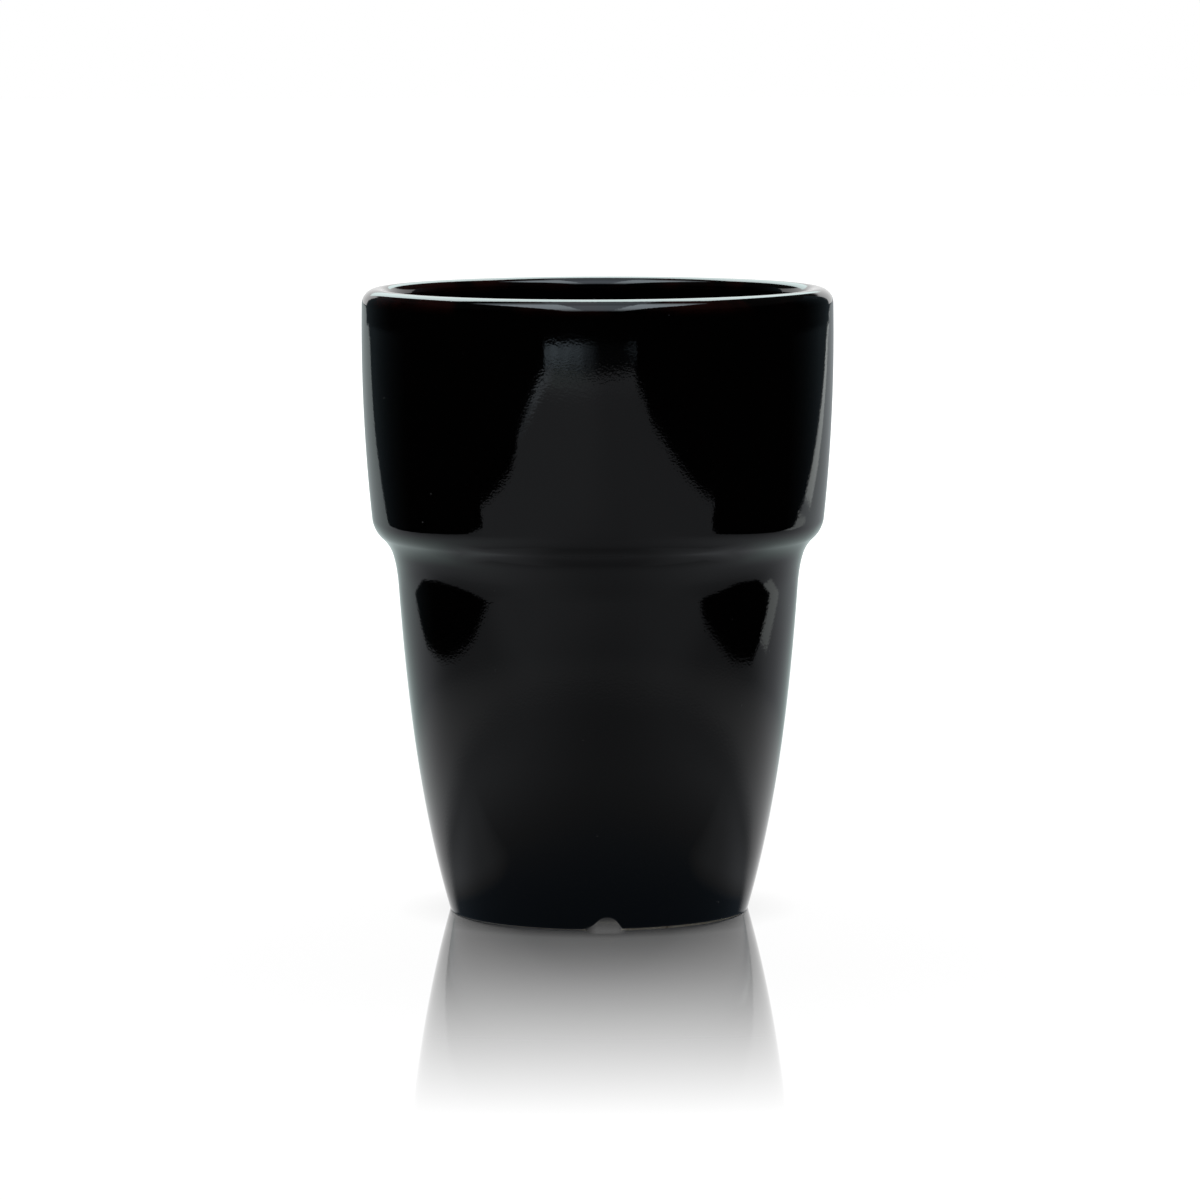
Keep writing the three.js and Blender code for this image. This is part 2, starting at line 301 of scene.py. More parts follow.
glaze_end = place_at_height(outer_side["body"], GLAZE_STOP + GLAZE / 2 * (1 - math.sin(foot_lean)))
foot_end = place_at_height(outer_side["body"], FOOT_ZONE)
outer_lip_centre = lip_centre(LIP_ROUND, COLLAR_BOW - LIP_ROUND)
outer_lip_start = angle_from(collar_centre, outer_lip_centre)
inner_reach = COLLAR_BOW - WALL
inner_lip_centre = lip_centre(LIP_INNER_ROUND, inner_reach + LIP_INNER_ROUND)
inner_lip_end = angle_from(collar_centre, inner_lip_centre)
liner_start = math.asin((MUG_HEIGHT - LINER_BELOW_RIM - collar_centre.y) / inner_reach)

outside = [
    *bow(outer_side["body"], glaze_end, foot_end, FOOT_STEPS),
    *bow(outer_side["body"], foot_end, 1, BODY_STEPS, 1),
    *shoulder(outer_side, SHOULDER_STEPS),
    *arc(collar_centre, COLLAR_BOW, outer_side["collar_start"], outer_lip_start, COLLAR_STEPS, 1, 1),
    *arc(outer_lip_centre, LIP_ROUND, outer_lip_start, math.pi / 2, LIP_STEPS, 1, 1),
]
lip_inside = [
    *arc(inner_lip_centre, LIP_INNER_ROUND, math.pi / 2, math.pi + inner_lip_end, INNER_LIP_STEPS),
    *arc(collar_centre, inner_reach, inner_lip_end, liner_start, LAP_STEPS, -1, 1),
]

corner_place = place_at_height(inner_side["body"], FLOOR_TOP + FLOOR_CORNER, FLOOR_CORNER)
corner_top, corner_facing = bow(inner_side["body"], corner_place, corner_place, 1)[0]
corner_centre = corner_top - corner_facing * FLOOR_CORNER
corner_end = angle_from(corner_centre, corner_top)
inside = turned_over(
    [
        (Vector((0, FLOOR_TOP)), Vector((0, -1))),
        (Vector((corner_centre.x / 2, FLOOR_TOP)), Vector((0, -1))),
        *arc(corner_centre, FLOOR_CORNER, -math.pi / 2, corner_end, CORNER_STEPS),
        *bow(inner_side["body"], corner_place, 1, INNER_BODY_STEPS, 1),
        *shoulder(inner_side, INNER_SHOULDER_STEPS),
        *arc(collar_centre, inner_reach, inner_side["collar_start"], liner_start, INNER_COLLAR_STEPS, 1, 1),
    ]
)

recess_radius = FOOT_RADIUS - FOOT_RING
recess_centre = Vector((recess_radius - RECESS_CORNER, RECESS_DEPTH - RECESS_CORNER))
recess_end = GLAZE_STOP + GLAZE / 2
recess = [
    (Vector((0, RECESS_DEPTH)), Vector((0, -1))),
    (Vector((recess_centre.x / 2, RECESS_DEPTH)), Vector((0, -1))),
    *arc(recess_centre, RECESS_CORNER, math.pi / 2, 0, RECESS_STEPS, -1),
    (Vector((recess_radius, (recess_centre.y + recess_end) / 2)), Vector((-1, 0))),
    (Vector((recess_radius, recess_end)), Vector((-1, 0))),
]
print(len(outside) + len(lip_inside), "stations outside and over the lip")
print(len(inside), "stations inside,", len(recess), "underneath")

# %% [markdown]
# Turning a section into a piece
#
# A lathed piece could be made with the Screw modifier. The Spin tool does the same on the mesh itself and
# leaves ordinary points behind, which the foot's notches need. A plane is merged to one point, the section
# is pulled out of it point by point, and the line is spun through a third of a turn: in quarter degrees
# where a notch will be, and in whole degrees from there on. A second spin copies that third twice. This
# leaves doubled points on the seams and on the axis, so they are merged, and the normals are then turned
# outwards.

# %% Lathe
NOTCH_COUNT = 3
NOTCH_TURN = math.radians(3.0)
THIRD = math.tau / NOTCH_COUNT
FINE_ANGLE = math.radians(13)
FINE_STEPS = 52
COARSE_STEPS = 107
MERGE_GAP = 0.002 * MM


def start_line(name, place):
    bpy.ops.object.select_all(action="DESELECT")
    bpy.ops.mesh.primitive_plane_add(size=MM, location=place)
    piece = bpy.context.object
    piece.name = name
    piece.data.name = name
    bpy.ops.object.mode_set(mode="EDIT")
    bpy.ops.mesh.select_mode(type="VERT")
    bpy.ops.mesh.merge(type="CENTER")
    return piece


def pull_line(points):
    for here, there in zip(points, points[1:]):
        bpy.ops.mesh.extrude_vertices_move(TRANSFORM_OT_translate={"value": tuple(there - here)})


def join_ends(piece):
    mesh = bmesh.from_edit_mesh(piece.data)
    ends = [vertex for vertex in mesh.verts if len(vertex.link_edges) == 1]
    for vertex in mesh.verts:
        vertex.select_set(vertex in ends)
    mesh.select_flush_mode()
    bmesh.update_edit_mesh(piece.data)
    bpy.ops.mesh.edge_face_add()


def lathe(name, section, closed=False):
    points = [Vector((radius, 0, height)) for radius, height in section]
    piece = start_line(name, points[0])
    pull_line(points)
    if closed:
        join_ends(piece)
    bpy.ops.mesh.select_all(action="SELECT")
    about = {"center": (0, 0, 0), "axis": (0, 0, 1)}
    bpy.ops.mesh.spin(steps=FINE_STEPS, angle=-FINE_ANGLE, **about)
    bpy.ops.mesh.spin(steps=COARSE_STEPS, angle=FINE_ANGLE - THIRD, **about)
    bpy.ops.mesh.select_all(action="SELECT")
    bpy.ops.mesh.spin(steps=NOTCH_COUNT - 1, angle=(NOTCH_COUNT - 1) * THIRD, dupli=True, **about)
    bpy.ops.mesh.select_all(action="SELECT")
    bpy.ops.mesh.remove_doubles(threshold=MERGE_GAP)
    bpy.ops.mesh.normals_make_consistent(inside=False)
    bpy.ops.object.mode_set(mode="OBJECT")
    bpy.ops.object.transform_apply(location=True, rotation=False, scale=False)
    piece.rotation_euler.z = NOTCH_TURN - math.radians(90) - FINE_ANGLE / 2
    bpy.ops.object.transform_apply(location=False, rotation=True, scale=True)
    bpy.ops.object.shade_smooth()
    print(name, len(piece.data.vertices), "points,", len(piece.data.polygons), "faces")
    return piece


# %% [markdown]
# A coat of glaze
#
# Glaze is a skin of even thickness whose ends are drawn round by its surface tension as it melts. A coat's
# section is its finished surface, a half circle at an end, and a few points on the clay side, which nobody
# sees, so every fourth station is enough there.

# %% Section of a coat
HIDDEN_EVERY = 4
BEAD_STEPS = 6


def bead(station, turn):
    point, facing = station
    centre = point - facing * GLAZE / 2
    start = math.atan2(facing.y, facing.x)
    return [p for p, _ in arc(centre, GLAZE / 2, start, start + turn * math.pi, BEAD_STEPS)][1:-1]


def coat_section(stations, rounded_start=False, rounded_end=False):
    hidden = [stations[0], *stations[1::HIDDEN_EVERY]]
    if stations[-1] not in hidden:
        hidden.append(stations[-1])
    section = sunk(stations, 0)
    if rounded_end:
        section += bead(stations[-1], 1)
    section += reversed(sunk(hidden, GLAZE))
    if rounded_start:
        section += reversed(bead(stations[0], -1))
    return section


# %% [markdown]
# The three coats
#
# The potter dips the mug, pours glaze in and out again, and brushes the hollow under the base. The outer
# coat runs over the lip and meets the liner just below it. Its section is a closed loop. The liner's is
# left open where it meets the outer coat, and the base's starts and ends on the axis.

# %% Coats
outer_section = coat_section([*outside, *lip_inside[1:]], rounded_start=True)
outer_glaze = lathe("outer_glaze_coat", outer_section, closed=True)
liner_glaze = lathe("liner_glaze_coat", coat_section(inside))
base_glaze = lathe("base_glaze_coat", coat_section(recess, rounded_end=True))

# %% [markdown]
# The clay body
#
# Only the foot's bare face and edges show, but the whole body is made, so that the mug is sound from
# every side and could be cut open. It follows the coats' own stations, sunk by a coat's thickness.

# %% Clay
CLAY_EVERY = 3
FOOT_ROWS = 6

clay_inset = GLAZE + BOND_LINE
clay_outside = sunk([*outside, *lip_inside[1:], *inside[1:]][::CLAY_EVERY], clay_inset)
clay_recess = sunk(recess[:-1], clay_inset)
ring_inside = recess_radius + clay_inset
ring_outside = foot.x - clay_inset / math.cos(foot_lean)
face_start = ring_inside + FOOT_BEVEL
face_width = ring_outside - FOOT_BEVEL - face_start
standing_face = [
    Vector((ring_inside, FOOT_BEVEL)),
    *[Vector((face_start + face_width * i / FOOT_ROWS, 0)) for i in range(FOOT_ROWS + 1)],
]
floor_middle = Vector((0, FLOOR_TOP - clay_inset))
clay_body = lathe("stoneware_body", [*clay_recess, *standing_face, *clay_outside, floor_middle])

# %% [markdown]
# The drain notches
#
# Three notches are wiped across the foot ring before glazing, so that water can drain out of the recess
# when the mug stands upside down in a rack. One side of each is soft, where the tool went in, and the
# other is steep. They could be cut with a Boolean, which leaves ragged faces in a surface that mirrors
# its surroundings. Here the rows of points near the foot are slid up along the wall instead, each by the
# height of the notch at its place, and the slide fades out above.

# %% Outline of a notch
NOTCH_CROWN = 2.2 * MM
CROWN_DROP = 0.1 * MM
SOFT_SIDE = math.radians(43)
STEEP_SIDE = math.radians(53)
FLARE = 4 * MM


def crown_height(across):
    return math.sqrt(NOTCH_CROWN**2 - across**2) - CROWN_DROP


soft_start = -NOTCH_CROWN * math.sin(SOFT_SIDE)
steep_start = NOTCH_CROWN * math.sin(STEEP_SIDE)
soft_foot = soft_start - crown_height(soft_start) / math.tan(SOFT_SIDE)
flare_reach = FLARE * math.tan(SOFT_SIDE / 2)


def notch_height(across):
    if across > steep_start:
        return max(0, crown_height(steep_start) - (across - steep_start) * math.tan(STEEP_SIDE))
    if across > soft_start:
        return crown_height(across)
    if across > soft_foot + flare_reach * math.cos(SOFT_SIDE):
        return (across - soft_foot) * math.tan(SOFT_SIDE)
    if across > soft_foot - flare_reach:
        return FLARE - math.sqrt(FLARE**2 - (across - soft_foot + flare_reach) ** 2)
    return 0


notches = []
for i in range(NOTCH_COUNT):
    turn = NOTCH_TURN + i * THIRD
    out = Vector((math.sin(turn), -math.cos(turn), 0))
    aside = Vector((math.cos(turn), math.sin(turn), 0))
    notches.append((out, aside))


def opening_at(place):
    return max(notch_height(place.dot(aside)) if place.dot(out) > 0 else 0 for out, aside in notches)


print("notch crown", round(crown_height(0) / MM, 2), "mm high")

# %% [markdown]
# Where the glaze stops
#
# Glaze is wiped off a foot by hand, so its lower edge wanders: it almost touches the table on one side and
# leaves a clear line of bare clay on the other. A few heights round the mug, joined by soft steps, give
# that line.

# %% Lower edge of the glaze
GLAZE_EDGE = (  # degrees round the mug from the front, height in millimetres
    (-180, 0.20),
    (-140, 0.08),
    (-100, 0.14),
    (-72, 0.03),
    (-12, 0.02),
    (8, 0.13),
    (38, 0.15),
    (62, 0.10),
    (76, 0.02),
    (120, 0.20),
    (150, 0.10),
    (180, 0.20),
)


def smooth(share):
    share = min(max(share, 0), 1)
    return share * share * (3 - 2 * share)


def glaze_edge(place):
    turn = math.degrees(math.atan2(place.x, -place.y))
    for (start, low), (end, high) in zip(GLAZE_EDGE, GLAZE_EDGE[1:]):
        if start <= turn <= end:
            return (low + (high - low) * smooth((turn - start) / (end - start))) * MM
    return GLAZE_STOP


# %% [markdown]
# Sliding the rows
#
# Each point keeps to its own wall as it rises: the outer wall leans and the recess has a rounded corner, so
# the radius is looked up at the new height. Between the two walls, on the standing face, both are blended.

# %% Slide
SLIDE_LOW = 1 * MM
CLAY_BEHIND = 0.5 * MM
RING_BLEND_START = 0.8 * MM
RING_BLEND_WIDTH = 3 * MM
SIDE_ROWS = 240
SIDE_ROWS_REACH = 1.4

side_rows = [point for point, _ in bow(outer_side["body"], 0, foot_end * SIDE_ROWS_REACH, SIDE_ROWS)]


def outer_radius(height):
    last = side_rows[0]
    for point in side_rows[1:]:
        if point.y >= height:
            break
        last = point
    return last.x + (point.x - last.x) * (height - last.y) / (point.y - last.y)


def recess_corner(height, depth):
    rise = min(max(height - recess_centre.y, 0), RECESS_CORNER + depth)
    return math.sqrt((RECESS_CORNER + depth) ** 2 - rise**2)


def slide_rows(piece, depth, stop_at):
    top = RECESS_DEPTH + depth
    for vertex in piece.data.vertices:
        place = vertex.co
        if place.z > FOOT_ZONE:
            continue
        radius = math.hypot(place.x, place.y)
        outer = smooth((radius - recess_radius - RING_BLEND_START) / RING_BLEND_WIDTH)
        if outer == 0 and place.z > top:
            continue
        rise = stop_at(place)
        rise_outer = rise * (1 - smooth((place.z - SLIDE_LOW) / (FOOT_ZONE - SLIDE_LOW)))
        rise_inner = rise * min(max((top - place.z) / (top - GLAZE_STOP), 0), 1)
        height = place.z + outer * rise_outer + (1 - outer) * rise_inner
        wider = outer * (outer_radius(height) - outer_radius(place.z))
        if outer < 1:
            wider += (1 - outer) * (recess_corner(height, depth) - recess_corner(place.z, depth))
        share = (radius + wider) / radius if radius > 0 else 1
        vertex.co = (place.x * share, place.y * share, height)
    piece.data.update()


def coat_stop(place):
    return max(opening_at(place), glaze_edge(place)) - GLAZE_STOP


def clay_stop(place):
    opening = opening_at(place)
    return opening + CLAY_BEHIND * smooth(opening / CLAY_BEHIND)


slide_rows(outer_glaze, 0, coat_stop)
slide_rows(base_glaze, 0, coat_stop)
slide_rows(clay_body, clay_inset, clay_stop)

# %% [markdown]
# The lining of the notches
#
# The glaze runs on through each notch into the recess. The faces on the clay side of the coat's rolled edge
# are picked by their place, and drawn straight through the foot ring.

# %% Lining
LINING_LENGTH = FOOT_RING - GLAZE
LINING_THICK = 0.5 * MM
FACING_IN = -0.2

bpy.ops.object.select_all(action="DESELECT")
bpy.context.view_layer.objects.active = outer_glaze
outer_glaze.select_set(True)
for out, aside in notches:
    bpy.ops.object.mode_set(mode="EDIT")
    bpy.ops.mesh.select_mode(type="FACE")
    mesh = bmesh.from_edit_mesh(outer_glaze.data)
    count = 0
    for face in mesh.faces:
        middle = face.calc_center_median()
        face.select_set(False)
        if middle.dot(out) > 0 and middle.z < FOOT_ZONE / 2:
            opening = notch_height(middle.dot(aside))
            inward = face.normal.dot(out) < FACING_IN
            if opening > GLAZE_STOP and inward and middle.z < opening + LINING_THICK:
                face.select_set(True)
                count += 1
    bmesh.update_edit_mesh(outer_glaze.data)
    shift = out * -LINING_LENGTH
    bpy.ops.mesh.extrude_region_move(TRANSFORM_OT_translate={"value": tuple(shift)})
    bpy.ops.object.mode_set(mode="OBJECT")
print("each notch is lined from", count, "faces of the coat's edge")

# %% [markdown]
# Helpers for materials
#
# Every finish here is worked out by nodes from the piece's own coordinates, so it needs no pictures and
# stays on the piece when it is turned. Short helpers keep the node chains readable: they fill a socket
# with a number, a colour or a node's output, do one sum, multiply values, map one range of numbers to
# another, add a noise whose size is in metres, or make a bump of a given depth. A range is written as its
# two ends, and then the values there where they aren't 0 and 1.

# %% Material helpers
WHITE = (1, 1, 1)
GRAIN_CORE = 0.6


def new_material(name):
    material = bpy.data.materials.new(name)
    material.use_nodes = True
    return material, material.node_tree


def fill(tree, socket, value):
    if isinstance(value, tuple):
        socket.default_value = (*value, 1)
    elif isinstance(value, (int, float)):
        socket.default_value = value
    else:
        tree.links.new(value, socket)


def maths(tree, operation, *values):
    node = tree.nodes.new("ShaderNodeMath")
    node.operation = operation
    for socket, value in zip(node.inputs, values):
        fill(tree, socket, value)
    return node.outputs[0]


def product(tree, first, *others):
    for other in others:
        first = maths(tree, "MULTIPLY", first, other)
    return first


def rest(tree, share):
    return maths(tree, "SUBTRACT", 1, share)


def ramp(tree, value, low, high, to_low=0, to_high=1, soft=True):
    node = tree.nodes.new("ShaderNodeMapRange")
    node.interpolation_type = "SMOOTHSTEP" if soft else "LINEAR"
    names = ("Value", "From Min", "From Max", "To Min", "To Max")
    for name, number in zip(names, (value, low, high, to_low, to_high)):
        fill(tree, node.inputs[name], number)
    return node.outputs["Result"]


def overlap(tree, *ranges):
    return product(tree, *[ramp(tree, value, *numbers) for value, numbers in ranges])


def object_place(tree):
    return tree.nodes.new("ShaderNodeTexCoord").outputs["Object"]


def split(tree, vector):
    node = tree.nodes.new("ShaderNodeSeparateXYZ")
    fill(tree, node.inputs[0], vector)
    return node.outputs["X"], node.outputs["Y"], node.outputs["Z"]


def noise(tree, place, size, detail=2):
    node = tree.nodes.new("ShaderNodeTexNoise")
    for name, value in (("Scale", 1 / size), ("Detail", detail), ("Vector", place)):
        fill(tree, node.inputs[name], value)
    return node.outputs["Fac"]


def grains(tree, place, spacing, radius):
    node = tree.nodes.new("ShaderNodeTexVoronoi")
    fill(tree, node.inputs["Scale"], 1 / spacing)
    fill(tree, node.inputs["Vector"], place)
    edge = radius / spacing
    return ramp(tree, node.outputs["Distance"], edge * GRAIN_CORE, edge, 1, 0)


def bump(tree, height, depth, under=None):
    node = tree.nodes.new("ShaderNodeBump")
    fill(tree, node.inputs["Distance"], depth)
    fill(tree, node.inputs["Height"], height)
    if under is not None:
        fill(tree, node.inputs["Normal"], under)
    return node.outputs["Normal"]


def blend_colours(tree, share, first, second):
    node = tree.nodes.new("ShaderNodeMix")
    node.data_type = "RGBA"
    for name, value in (("Factor", share), ("A", first), ("B", second)):
        fill(tree, node.inputs[name], value)
    return node.outputs["Result"]


# %% [markdown]
# The black glaze
#
# A black gloss glaze is a dark iron glass, so almost all that is seen of it is what it mirrors. Three
# things tell it from plastic. Its skin has a faint orange peel, about half a degree steep, which ripples
# every reflection's edge. The coat swells and thins slowly from place to place, which bends long
# reflections. And where it runs thin, over the lip and at the edge of the foot, the iron shows through
# red-brown. Each one is a noise of the right size, and a few pinholes are added as tiny dents.

# %% Black glaze
GLAZE_BLACK = (0.0003, 0.0002, 0.0002)
GLAZE_BROWN = (0.011, 0.002, 0.0016)
GLAZE_GLOSS = 0.035
GLAZE_GLOSS_WORN = 0.055
WORN_PATCHES = (0.3, 0.7)
GLASS_IOR = 1.5
PEEL_SIZE = 0.4 * MM
PEEL_DEPTH = 0.0048 * MM
SWELL_SIZE = 11 * MM
SWELL_DEPTH = 0.025 * MM
PINHOLE_SPACING = 5 * MM
PINHOLE_RADIUS = 0.16 * MM
PINHOLE_DEPTH = -0.03 * MM
BREAK_SIZE = 9 * MM
BREAK_PATCHES = (0.42, 0.66)
LIP_BREAK = 3 * MM
FOOT_BREAK = 0.5 * MM
FOOT_BREAK_SHARE = 0.5


def black_glaze_finish():
    material, tree = new_material("black_gloss_glaze")
    shader = tree.nodes["Principled BSDF"]
    place = object_place(tree)
    height = split(tree, place)[2]
    near_lip = ramp(tree, height, MUG_HEIGHT - LIP_BREAK, MUG_HEIGHT - GLAZE)
    near_foot = ramp(tree, height, 0, FOOT_BREAK, FOOT_BREAK_SHARE, 0)
    thin = maths(tree, "MAXIMUM", near_lip, near_foot)
    patches = ramp(tree, noise(tree, place, BREAK_SIZE), *BREAK_PATCHES)
    colour = blend_colours(tree, product(tree, thin, patches), GLAZE_BLACK, GLAZE_BROWN)
    fill(tree, shader.inputs["Base Color"], colour)
    gloss = ramp(tree, noise(tree, place, SWELL_SIZE), *WORN_PATCHES, GLAZE_GLOSS, GLAZE_GLOSS_WORN)
    fill(tree, shader.inputs["Roughness"], gloss)
    fill(tree, shader.inputs["IOR"], GLASS_IOR)
    swell = bump(tree, noise(tree, place, SWELL_SIZE, 1), SWELL_DEPTH)
    peel = bump(tree, noise(tree, place, PEEL_SIZE, 1), PEEL_DEPTH, swell)
    pitted = bump(tree, grains(tree, place, PINHOLE_SPACING, PINHOLE_RADIUS), PINHOLE_DEPTH, peel)
    fill(tree, shader.inputs["Normal"], pitted)
    return material


# %% [markdown]
# The bare clay
#
# The standing ring is left unglazed, so that the mug doesn't stick to the kiln shelf. Fired stoneware is
# cream, matt and a little sandy: grog, the ground fired clay in it, shows as paler and darker grains, and
# iron makes a few brown specks. The grains are a fine noise over a slow one, and each speck is the middle
# of a Voronoi cell.

# %% Bare clay
CLAY_CREAM = (0.56, 0.47, 0.33)
CLAY_SAND = (0.40, 0.32, 0.21)
IRON_SPECK = (0.11, 0.06, 0.035)
CLAY_ROUGHNESS = 0.9
SAND_SIZE = 0.35 * MM
SAND_SHARE = 0.6
SAND_PATCHES = (0.38, 0.62)
SMEAR_SIZE = 4 * MM
SPECK_SPACING = 1.6 * MM
SPECK_RADIUS = 0.22 * MM
SAND_DEPTH = 0.03 * MM


def bare_clay_finish():
    material, tree = new_material("bare_stoneware")
    shader = tree.nodes["Principled BSDF"]
    place = object_place(tree)
    sand = noise(tree, place, SAND_SIZE, 3)
    smear = noise(tree, place, SMEAR_SIZE)
    tone = maths(tree, "ADD", product(tree, sand, SAND_SHARE), product(tree, smear, 1 - SAND_SHARE))
    clay = blend_colours(tree, ramp(tree, tone, *SAND_PATCHES), CLAY_SAND, CLAY_CREAM)
    specks = grains(tree, place, SPECK_SPACING, SPECK_RADIUS)
    fill(tree, shader.inputs["Base Color"], blend_colours(tree, specks, clay, IRON_SPECK))
    fill(tree, shader.inputs["Roughness"], CLAY_ROUGHNESS)
    fill(tree, shader.inputs["Normal"], bump(tree, sand, SAND_DEPTH))
    return material


# %% [markdown]
# Putting the finishes on
#
# Every piece rides on the mug's one body, gets its finish, and takes the place of an imported solid, which is
# hidden.

# %% Dress the pieces
black_glaze = black_glaze_finish()
bare_clay = bare_clay_finish()
for piece, material, slot, node in (
    (outer_glaze, black_glaze, "black_glaze", "outer_glaze"),
    (liner_glaze, black_glaze, "black_glaze", "liner_glaze"),
    (base_glaze, black_glaze, "black_glaze", "base_glaze"),
    (clay_body, bare_clay, "bare_clay", "clay_body"),
):
    piece.data.materials.append(material)
    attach(piece, "root")
    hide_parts(node)
    print(piece.name, "has", material.name, "and stands for", node)

# %% [markdown]
# The table
#
# The mug stands on a broad sheet of polished white acrylic. It is one plane, and its material gives the
# camera and the glaze each their own table, as a photographer does with flags and cards.

# %% Table top
TABLE_SPAN = 12

bpy.ops.object.select_all(action="DESELECT")
bpy.ops.mesh.primitive_plane_add(size=TABLE_SPAN, location=(0, 0, 0))
table = bpy.context.object
table.name = "table_top"

# %% [markdown]
# The table as the glaze sees it
#
# The glaze doesn't mirror a white table. It mirrors a glow with light and shade painted into it. The painted
# light comes from behind, so the table is grey in front and brightens towards the back, less so at the sides
# and on the right. A painted shadow of the mug runs forwards, and a painted glow lies far in front. Round the
# foot is painted shade, least so beside it, and under the foot it is black. Steep rays see it brighter, and
# flat ones at the sides see it dimmer. Each of these is a few ranges in metres, or in how flat the ray is,
# and all are multiplied. Clay, being matt, is lit by that same painted table.

# %% Table for the glaze
BACK_LIGHT = (-0.135, 0.299, 0.298, 0.837)
SIDE_LOSS = (0.030, 0.229, 0, 0.39)
SIDE_LOSS_START = (-0.130, 0)
RIGHT_LOSS = (-0.060, 0.060, 1, 0.87)
SHADOW_WIDTH = (0, 0.137, 0.573, 0)
SHADOW_START = (-0.344, -0.019)
SHADOW_END = (-0.019, 0.012, 1, 0)
GLOW_ALONG = (-1.00, -0.68, 1, 0)
GLOW_ACROSS = (-0.30, 0.10, 1, 0.3)
FOOT_SHADE = (0.022, 0.100, 0.3, 1)
BESIDE_START = (-0.050, -0.020)
BESIDE_END = (-0.012, 0.020, 1, 0.5)
BESIDE_WIDTH = (0.020, 0.042)
UNDER_FOOT = (0.019, 0.024)
STEEP_RAYS = (0.12, 0.30, 1, 0)
STEEP_WIDTH = (0.018, 0.042, 0.72, 1)
STEEP_GAIN = (0.35, 0.75, 1.5, 1)
FLAT_RAYS = (0.58, 0.78, 0, 0.3)
FLAT_WIDTH = (0.070, 0.130)
FLAT_START = (-0.160, -0.090)
FLAT_END = (0.010, 0.090, 1, 0)


# painted light from behind, with a painted shadow of the mug and a painted glow far in front
def painted_open_light(tree, across, along, aside):
    side_loss = overlap(tree, (aside, SIDE_LOSS), (along, SIDE_LOSS_START))
    shadow = overlap(tree, (aside, SHADOW_WIDTH), (along, SHADOW_START), (along, SHADOW_END))
    glow = overlap(tree, (along, GLOW_ALONG), (across, GLOW_ACROSS))
    lit = overlap(tree, (along, BACK_LIGHT), (across, RIGHT_LOSS))
    return product(tree, lit, rest(tree, side_loss), rest(tree, shadow), maths(tree, "ADD", 1, glow))


# painted shade round the foot: lighter beside it and for steep rays, black under it
def painted_foot_shade(tree, along, aside, away, flatness):
    shade = ramp(tree, away, *FOOT_SHADE)
    beside = overlap(tree, (along, BESIDE_START), (along, BESIDE_END), (aside, BESIDE_WIDTH))
    steep = overlap(tree, (flatness, STEEP_RAYS), (aside, STEEP_WIDTH))
    lightest = maths(tree, "MAXIMUM", maths(tree, "MAXIMUM", shade, beside), steep)
    return product(tree, lightest, ramp(tree, away, *UNDER_FOOT))


# the table's painted light and shade, as mirrored and matt rays see it
def painted_table_light(tree, place, away, flatness):
    across, along, _ = split(tree, place)
    aside = maths(tree, "ABSOLUTE", across)
    open_part = painted_open_light(tree, across, along, aside)
    foot_part = painted_foot_shade(tree, along, aside, away, flatness)
    flat_place = overlap(tree, (aside, FLAT_WIDTH), (along, FLAT_START), (along, FLAT_END))
    flat_loss = product(tree, ramp(tree, flatness, *FLAT_RAYS), flat_place)
    return product(tree, open_part, foot_part, rest(tree, flat_loss), ramp(tree, flatness, *STEEP_GAIN))


# %% [markdown]
# The table as the camera sees it
#
# To the camera the table glows white, with a painted shadow in the ring where it touches the foot, and a
# painted patch of light in front of the front notch, as if light came out through it. The glow is also a
# little weaker near the mug, and a matt grey layer under it takes the lamp's real shadow. Seen at a low angle
# it also mirrors the mug, most strongly at the foot, and that mirror image fades as it runs towards the
# camera.

# %% Table for the camera
MIRROR_START = 30 * MM
MIRROR_END = 198 * MM
MIRROR_FADE = 1.35
MIRROR_BEST = 0.88
GRAZING_RAYS = (0.62, 0.83)
CONTACT_TONE = 0.11
CONTACT_REACH = 9 * MM
NOTCH_ASIDE = FOOT_RADIUS * math.sin(NOTCH_TURN)
NOTCH_LIGHT = (10 * MM, 25 * MM, 0.1, 0.95)
NOTCH_WIDTH = (1.5 * MM, 4.2 * MM, 1, 0)
NOTCH_START = (-13 * MM, -8 * MM, 1, 0)
NOTCH_REACH = (28 * MM, 34 * MM, 1, 0)
OPEN_WHITE = (0.2, 0.7, 0.78, 1.0)
MATT_GREY = (0.25, 0.25, 0.25)


def emission(tree, brightness, tint=WHITE):
    node = tree.nodes.new("ShaderNodeEmission")
    fill(tree, node.inputs["Color"], tint)
    fill(tree, node.inputs["Strength"], brightness)
    return node.outputs[0]


def mirror_share(tree, away, flatness):
    run = ramp(tree, away, MIRROR_START, MIRROR_END, soft=False)
    kept = ramp(tree, maths(tree, "POWER", run, MIRROR_FADE), 0, 1, MIRROR_BEST, 0, soft=False)
    return product(tree, kept, ramp(tree, flatness, *GRAZING_RAYS))


# painted light: a pale patch on the table in front of the front notch
def painted_notch_light(tree, place, away):
    across, along, _ = split(tree, place)
    off_middle = maths(tree, "ABSOLUTE", maths(tree, "SUBTRACT", across, NOTCH_ASIDE))
    spread = overlap(tree, (off_middle, NOTCH_WIDTH), (along, NOTCH_START), (away, NOTCH_REACH))
    return product(tree, ramp(tree, away, *NOTCH_LIGHT, soft=False), spread)


